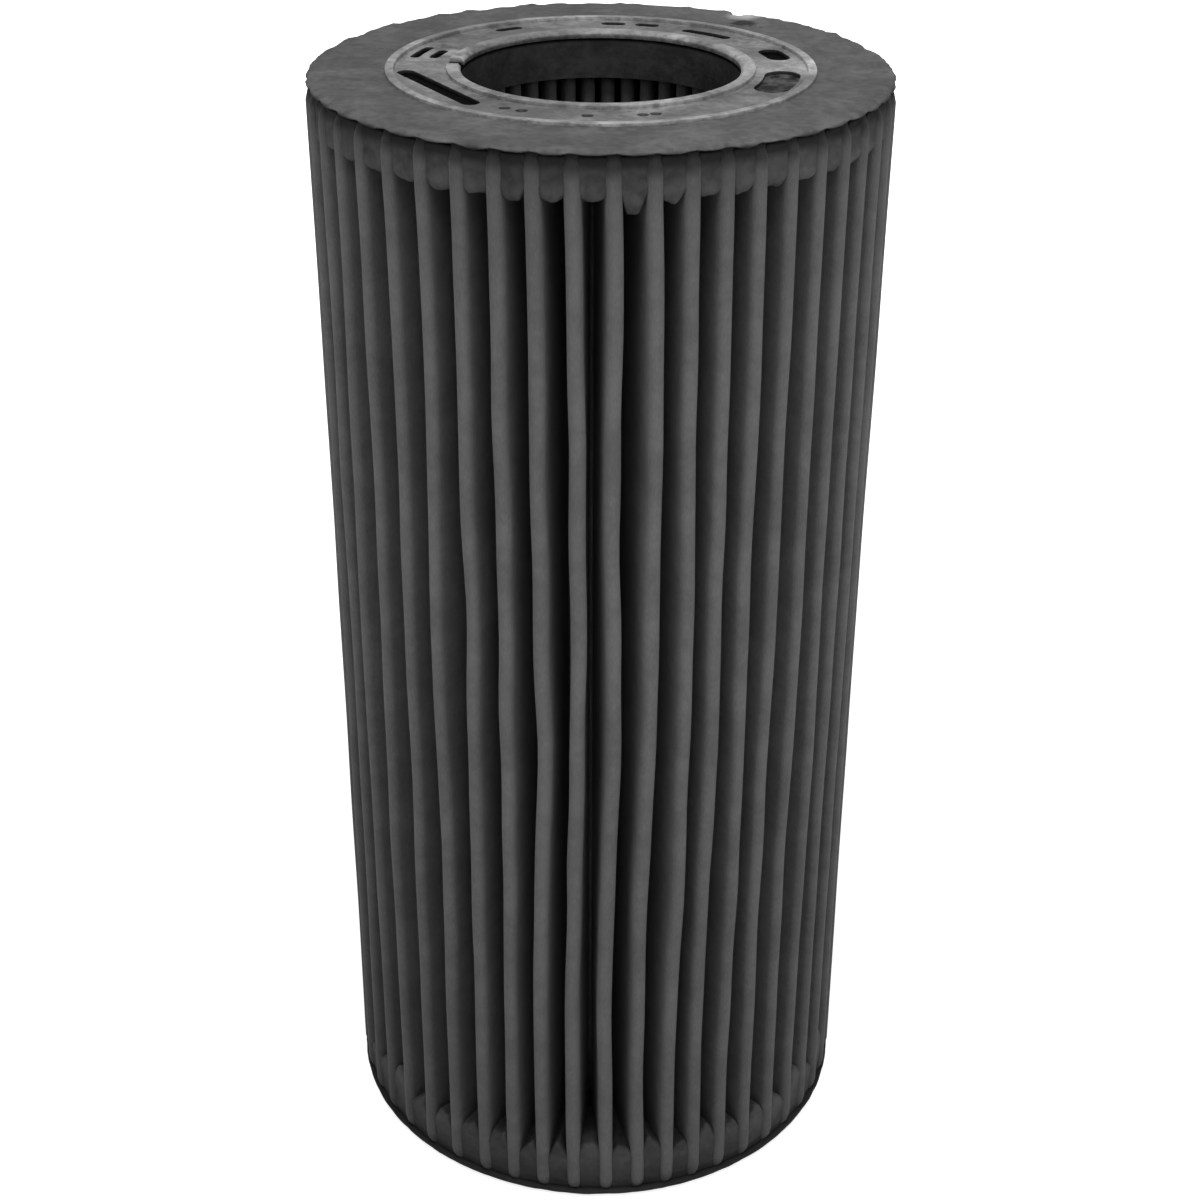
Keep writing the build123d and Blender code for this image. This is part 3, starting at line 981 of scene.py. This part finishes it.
# Lamps: name, place, the point that each faces, size and watts
LAMPS = (
    ("overhead", (0.0, -0.25, 1.05), (0, 0, 0.17), 0.7, 7.4),
    ("fill_left", (-0.8, -0.65, 0.4), (0, 0, 0.09), 0.6, 1.25),
    ("fill_right", (0.8, -0.65, 0.4), (0, 0, 0.09), 0.6, 2.0),
    ("rear", (0.0, 1.1, 0.5), (0, 0, 0.09), 0.8, 0.9),
)
CAMERA_PLACE = (0, -0.2891, 0.2469)
CAMERA_LENS, CAMERA_SENSOR = 61.48, 36  # millimetres
CAMERA_NEAR = 0.01
CAMERA_DOWN, CAMERA_YAW, CAMERA_ROLL = 28.648, -0.05, 0.291  # degrees


def make_floor():
    """A wide pale floor that keeps the element's shadow and goes over to white further off."""
    deselect()
    bpy.ops.mesh.primitive_plane_add(size=FLOOR_SIZE, location=(0, 0, 0))
    floor = bpy.context.object
    floor.name = "floor"
    material = bpy.data.materials.new("pale floor")
    material.use_nodes = True
    tree = material.node_tree
    tree.nodes.clear()
    pale = add_node(tree, "ShaderNodeBsdfDiffuse", {"Color": FLOOR_COLOUR})
    white = add_node(tree, "ShaderNodeEmission", {"Color": WHITE, "Strength": FLOOR_GLOW})
    seen = add_node(tree, "ShaderNodeLightPath").outputs["Is Camera Ray"]
    place = add_node(tree, "ShaderNodeTexCoord").outputs["Object"]
    away = add_node(tree, "ShaderNodeVectorMath", {0: place}, operation="LENGTH").outputs["Value"]
    share = toned(tree, seen, away, FLOOR_NEAR, FLOOR_FAR, FLOOR_NEAR_SHARE, 1.0)
    mixed = add_node(tree, "ShaderNodeMixShader", {0: share, 1: pale.outputs[0], 2: white.outputs[0]})
    add_node(tree, "ShaderNodeOutputMaterial", {"Surface": mixed.outputs[0]})
    floor.data.materials.append(material)


def make_world():
    """Even light from all round, and a white backdrop for the camera."""
    world = bpy.data.worlds.new("studio")
    bpy.context.scene.world = world
    world.use_nodes = True
    tree = world.node_tree
    tree.nodes.clear()
    seen = add_node(tree, "ShaderNodeLightPath").outputs["Is Camera Ray"]
    room = add_node(tree, "ShaderNodeBackground", {"Color": WHITE, "Strength": ROOM_LIGHT})
    backdrop = add_node(tree, "ShaderNodeBackground", {"Color": WHITE, "Strength": BACKDROP})
    mixed = add_node(tree, "ShaderNodeMixShader", {0: seen, 1: room.outputs[0], 2: backdrop.outputs[0]})
    add_node(tree, "ShaderNodeOutputWorld", {"Surface": mixed.outputs[0]})


def softbox(name, place, target, size, power):
    """A square area lamp turned to face a point."""
    lamp = bpy.data.lights.new(name, "AREA")
    lamp.size = size
    lamp.energy = power
    piece = bpy.data.objects.new(name, lamp)
    piece.location = place
    piece.rotation_euler = (Vector(target) - Vector(place)).to_track_quat("-Z", "Y").to_euler()
    bpy.context.scene.collection.objects.link(piece)


def make_camera():
    """The camera looks down at the element from in front."""
    camera = bpy.data.objects.new("camera", bpy.data.cameras.new("camera"))
    camera.data.sensor_width = CAMERA_SENSOR
    camera.data.lens = CAMERA_LENS
    camera.data.clip_start = CAMERA_NEAR
    camera.location = CAMERA_PLACE
    yaw = Matrix.Rotation(math.radians(CAMERA_YAW), 3, "Z")
    tilt = Matrix.Rotation(math.radians(90 - CAMERA_DOWN), 3, "X")
    roll = Matrix.Rotation(math.radians(CAMERA_ROLL), 3, "Z")
    camera.rotation_euler = (yaw @ tilt @ roll).to_euler()
    bpy.context.scene.collection.objects.link(camera)
    bpy.context.scene.camera = camera


make_floor()
make_world()
for name, place, target, size, power in LAMPS:
    softbox(name, place, target, size, power)
make_camera()
bpy.context.scene.view_settings.view_transform = "Standard"
